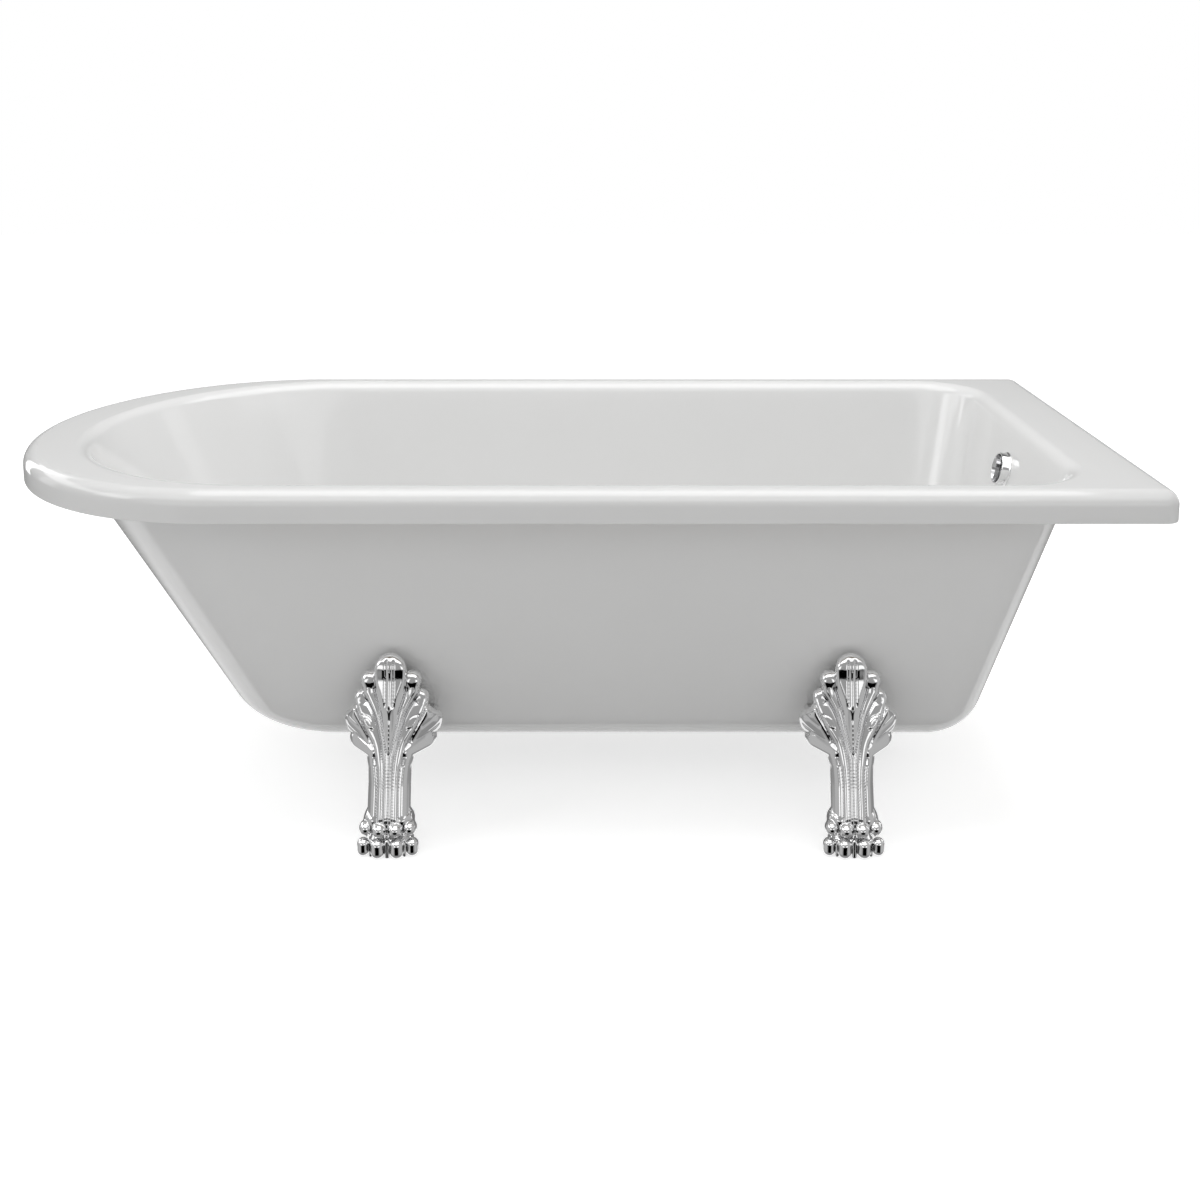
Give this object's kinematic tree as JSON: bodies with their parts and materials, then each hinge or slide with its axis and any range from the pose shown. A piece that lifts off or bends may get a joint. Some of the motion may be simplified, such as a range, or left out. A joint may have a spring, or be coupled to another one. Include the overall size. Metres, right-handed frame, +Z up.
{
  "type": "clawfoot bathtub",
  "caption": "White single-ended freestanding bath with a square tap end, on chrome leaf-and-paw claw feet, with click plug, waste, overflow and levelling feet.",
  "frame": {"origin": "on the floor under the middle of the bath's overall length and width", "axes": "+X along the length to the square tap end, +Y across to the rear side, +Z up"},
  "size_m": [1.7, 0.75, 0.56],
  "materials": {
    "white_acrylic": "polished",
    "chrome": "polished",
    "board": "raw chipboard",
    "steel": "zinc plated",
    "brass": "turned",
    "rubber": "moulded",
    "nylon": "moulded"
  },
  "bodies": {
    "bath": {"bath_inner_shell": "white_acrylic", "bath_outer_shell": "white_acrylic", "base_board": "board", "tap_ledge_board": "board", "front_rim_batten": "board", "rear_rim_batten": "board", "waste_flange": "chrome", "waste_flange_seal": "rubber", "waste_body_seal": "rubber", "waste_body": "chrome", "plug_cartridge": "brass", "overflow_bezel": "chrome", "overflow_strainer": "chrome", "overflow_screw": "steel", "overflow_gasket": "rubber", "overflow_elbow": "chrome", "overflow_pipe": "chrome", "overflow_pipe_nut": "chrome", "waste_pipe_nut": "chrome", "base_screws": "steel", "foot_bolts": "steel", "leveller_bushes": "steel", "claw_foot_front_back_rest": "chrome", "foot_bracket_front_back_rest": "steel", "claw_foot_rear_back_rest": "chrome", "foot_bracket_rear_back_rest": "steel", "claw_foot_front_tap_end": "chrome", "foot_bracket_front_tap_end": "steel", "claw_foot_rear_tap_end": "chrome", "foot_bracket_rear_tap_end": "steel"},
    "plug": {"plug_cap": "chrome", "plug_seal": "rubber", "plug_spindle": "brass"},
    "pad_front_back_rest": {"leveller_pad_front_back_rest": "nylon"},
    "stud_front_back_rest": {"leveller_stud_front_back_rest": "steel"},
    "pad_rear_back_rest": {"leveller_pad_rear_back_rest": "nylon"},
    "stud_rear_back_rest": {"leveller_stud_rear_back_rest": "steel"},
    "pad_front_tap_end": {"leveller_pad_front_tap_end": "nylon"},
    "stud_front_tap_end": {"leveller_stud_front_tap_end": "steel"},
    "pad_rear_tap_end": {"leveller_pad_rear_tap_end": "nylon"},
    "stud_rear_tap_end": {"leveller_stud_rear_tap_end": "steel"}
  },
  "joints": [
    {"name": "plug_lift", "type": "slide", "parent": "bath", "child": "plug", "axis": [0, 0, 1], "range_m": [0, 0.009]},
    {"name": "pad_drop_front_back_rest", "type": "slide", "parent": "bath", "child": "pad_front_back_rest", "axis": [0, 0, -1], "range_m": [0, 0.01]},
    {"name": "stud_turn_front_back_rest", "type": "hinge", "parent": "pad_front_back_rest", "child": "stud_front_back_rest", "pos_m": [-0.247, -0.296, 0.01], "axis": [0, 0, 1], "range_deg": [0, 2401]},
    {"name": "pad_drop_rear_back_rest", "type": "slide", "parent": "bath", "child": "pad_rear_back_rest", "axis": [0, 0, -1], "range_m": [0, 0.01]},
    {"name": "stud_turn_rear_back_rest", "type": "hinge", "parent": "pad_rear_back_rest", "child": "stud_rear_back_rest", "pos_m": [-0.247, 0.296, 0.01], "axis": [0, 0, 1], "range_deg": [0, 2401]},
    {"name": "pad_drop_front_tap_end", "type": "slide", "parent": "bath", "child": "pad_front_tap_end", "axis": [0, 0, -1], "range_m": [0, 0.01]},
    {"name": "stud_turn_front_tap_end", "type": "hinge", "parent": "pad_front_tap_end", "child": "stud_front_tap_end", "pos_m": [0.4275, -0.296, 0.01], "axis": [0, 0, 1], "range_deg": [0, 2401]},
    {"name": "pad_drop_rear_tap_end", "type": "slide", "parent": "bath", "child": "pad_rear_tap_end", "axis": [0, 0, -1], "range_m": [0, 0.01]},
    {"name": "stud_turn_rear_tap_end", "type": "hinge", "parent": "pad_rear_tap_end", "child": "stud_rear_tap_end", "pos_m": [0.4275, 0.296, 0.01], "axis": [0, 0, 1], "range_deg": [0, 2401]}
  ],
  "couplings": [
    {"joint": "stud_turn_front_back_rest", "follows": "pad_drop_front_back_rest", "rad_per_m": 4188.8},
    {"joint": "stud_turn_rear_back_rest", "follows": "pad_drop_rear_back_rest", "rad_per_m": 4188.8},
    {"joint": "stud_turn_front_tap_end", "follows": "pad_drop_front_tap_end", "rad_per_m": 4188.8},
    {"joint": "stud_turn_rear_tap_end", "follows": "pad_drop_rear_tap_end", "rad_per_m": 4188.8}
  ]
}
